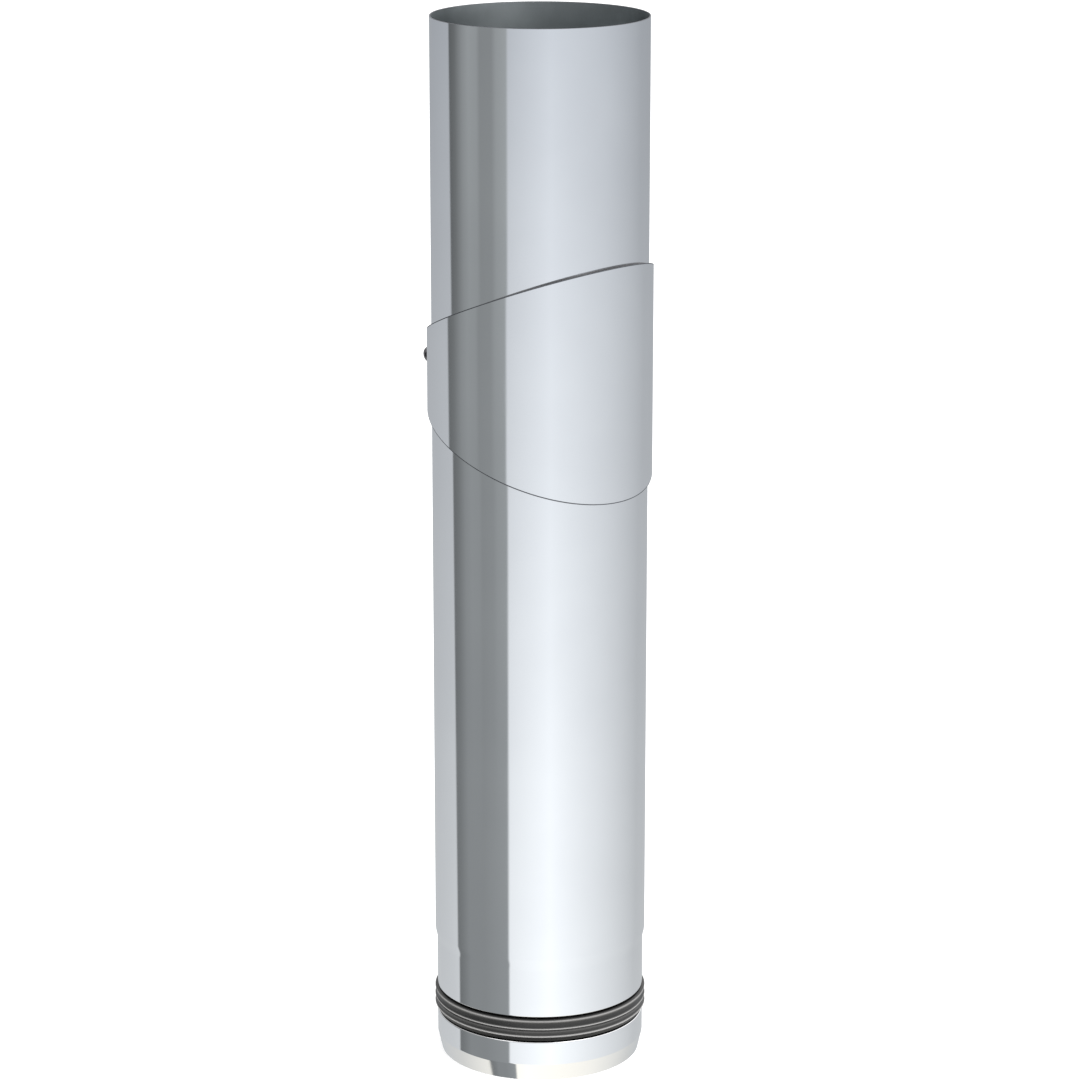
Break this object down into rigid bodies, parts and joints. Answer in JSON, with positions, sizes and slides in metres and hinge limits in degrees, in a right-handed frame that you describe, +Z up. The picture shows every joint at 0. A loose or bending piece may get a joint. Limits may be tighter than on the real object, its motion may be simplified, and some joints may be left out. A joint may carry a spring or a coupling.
{
  "type": "pipe sight glass",
  "caption": "Push-fit drain pipe section with a ribbed lip seal and a window behind a port, closed by a clamped cover sleeve that turns and slides.",
  "frame": {"origin": "on the pipe's axis, in the plane of its lower end", "axes": "+Z up along the pipe towards its plain open end, -Y towards the window, +Y towards the cover's clamp"},
  "size_m": [0.1042, 0.1139, 0.4955],
  "materials": {
    "pipe_steel": "smooth pickled and polished stainless sheet",
    "cast_steel": "fine satin",
    "fastener_steel": "dark satin",
    "epdm": "moulded matt",
    "glass": "clear, polished"
  },
  "bodies": {
    "pipe": {"pipe_body": "pipe_steel", "spigot_lip_seal": "epdm", "window_gasket": "epdm", "window_glass": "glass", "glass_cushion": "epdm", "window_retainer": "cast_steel", "window_stud_1": "fastener_steel", "window_stud_2": "fastener_steel", "window_stud_3": "fastener_steel", "window_stud_4": "fastener_steel", "window_stud_5": "fastener_steel", "window_stud_6": "fastener_steel", "window_stud_7": "fastener_steel", "window_stud_8": "fastener_steel", "window_nut_1": "fastener_steel", "window_nut_2": "fastener_steel", "window_nut_3": "fastener_steel", "window_nut_4": "fastener_steel", "window_nut_5": "fastener_steel", "window_nut_6": "fastener_steel", "window_nut_7": "fastener_steel", "window_nut_8": "fastener_steel"},
    "liner": {"cover_liner": "epdm"},
    "cover": {"cover_band": "pipe_steel", "clamp_lug_left": "pipe_steel", "clamp_lug_right": "pipe_steel", "clamp_nut": "fastener_steel"},
    "washers": {"clamp_washer": "fastener_steel", "clamp_lock_washer": "fastener_steel"},
    "screw": {"clamp_screw": "fastener_steel"}
  },
  "joints": [
    {"name": "cover_slide", "type": "slide", "parent": "pipe", "child": "liner", "axis": [0, 0, 1], "range_m": [-0.2, 0.1]},
    {"name": "cover_turn", "type": "hinge", "parent": "liner", "child": "cover", "pos_m": [0, 0, 0.333], "axis": [0, 0, 1], "continuous": true},
    {"name": "screw_travel", "type": "slide", "parent": "cover", "child": "washers", "axis": [-1, 0, 0], "range_m": [0, 0.0056]},
    {"name": "screw_turn", "type": "hinge", "parent": "washers", "child": "screw", "pos_m": [-0.014, 0.0575, 0.333], "axis": [-1, 0, 0], "range_deg": [0, 2880]}
  ],
  "couplings": [
    {"joint": "screw_turn", "follows": "screw_travel", "rad_per_m": 8975.9}
  ]
}
